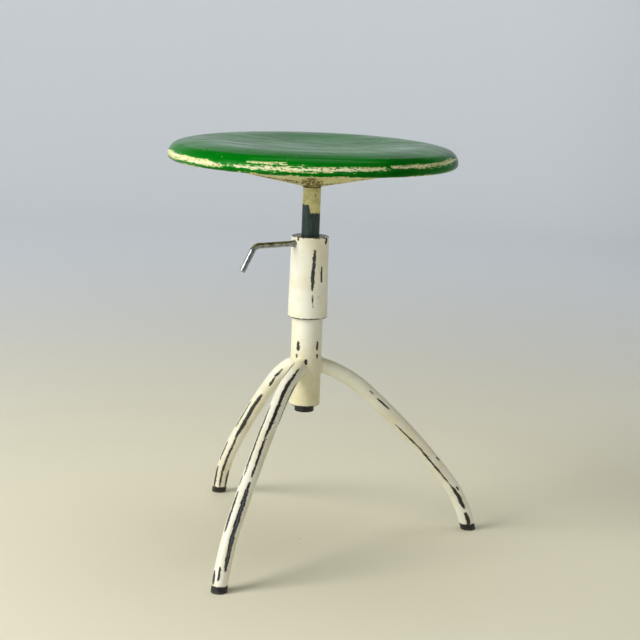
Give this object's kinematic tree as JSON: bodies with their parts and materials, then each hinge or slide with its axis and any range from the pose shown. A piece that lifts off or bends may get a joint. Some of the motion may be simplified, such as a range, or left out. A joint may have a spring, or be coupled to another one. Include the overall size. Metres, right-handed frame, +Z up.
{
  "type": "height-adjustable stool",
  "caption": "Round dished steel seat on a sliding, swivelling stem, clamped by a bent lever screw in a column with bent tubular legs and rubber feet.",
  "frame": {"origin": "on the column's axis, at the height of the floor that the rubber feet stand on", "axes": "+Z up along the stem and column; +X roughly towards the right leg; the clamp lever points towards -X and -Y"},
  "size_m": [0.402, 0.4255, 0.4987],
  "materials": {
    "green_enamel": "glossy enamel, scuffed along the rim",
    "cream_enamel_seat": "yellowed enamel, chipped near the stem",
    "cream_enamel": "glossy enamel, worn to bare steel in long lines",
    "stem_steel": "dark bare steel below, enamel above",
    "plain_steel": "plain turned steel",
    "zinc_steel": "zinc plated",
    "bright_steel": "bright plated rod, lightly scratched",
    "pad_brass": "plain turned brass",
    "guide_plastic": "natural plastic",
    "black_rubber": "matt, scuffed"
  },
  "bodies": {
    "base": {"column_tube": "cream_enamel", "head_sleeve": "cream_enamel", "head_bush": "plain_steel", "column_end_ring": "cream_enamel", "bottom_plug": "black_rubber", "leg_front": "cream_enamel", "foot_front": "black_rubber", "leg_right": "cream_enamel", "foot_right": "black_rubber", "leg_rear": "cream_enamel", "foot_rear": "black_rubber"},
    "lower_guide": {"guide_piston": "guide_plastic"},
    "seat": {"seat_top_shell": "green_enamel", "seat_under_cone": "cream_enamel_seat", "seat_hub_plate": "plain_steel", "seat_hub_collar": "plain_steel", "stem_tube": "stem_steel", "stem_end_insert": "plain_steel", "thrust_washer": "zinc_steel", "retaining_washer": "zinc_steel", "retaining_screw": "zinc_steel"},
    "clamp_pad": {"clamp_pad": "pad_brass"},
    "lever": {"lever": "bright_steel"}
  },
  "joints": [
    {"name": "seat_lift", "type": "slide", "parent": "base", "child": "lower_guide", "axis": [0, 0, 1], "range_m": [-0.03, 0.085]},
    {"name": "seat_swivel", "type": "hinge", "parent": "lower_guide", "child": "seat", "pos_m": [0, 0, 0.2432], "axis": [0, 0, 1], "continuous": true},
    {"name": "clamp_pad_travel", "type": "slide", "parent": "base", "child": "clamp_pad", "axis": [-0.8192, -0.5736, 0], "range_m": [0, 0.00041667]},
    {"name": "lever_turn", "type": "hinge", "parent": "clamp_pad", "child": "lever", "pos_m": [0, 0, 0.3757], "axis": [-0.8192, -0.5736, 0], "range_deg": [0, 120]}
  ],
  "couplings": [
    {"joint": "lever_turn", "follows": "clamp_pad_travel", "rad_per_m": 5026.5}
  ]
}
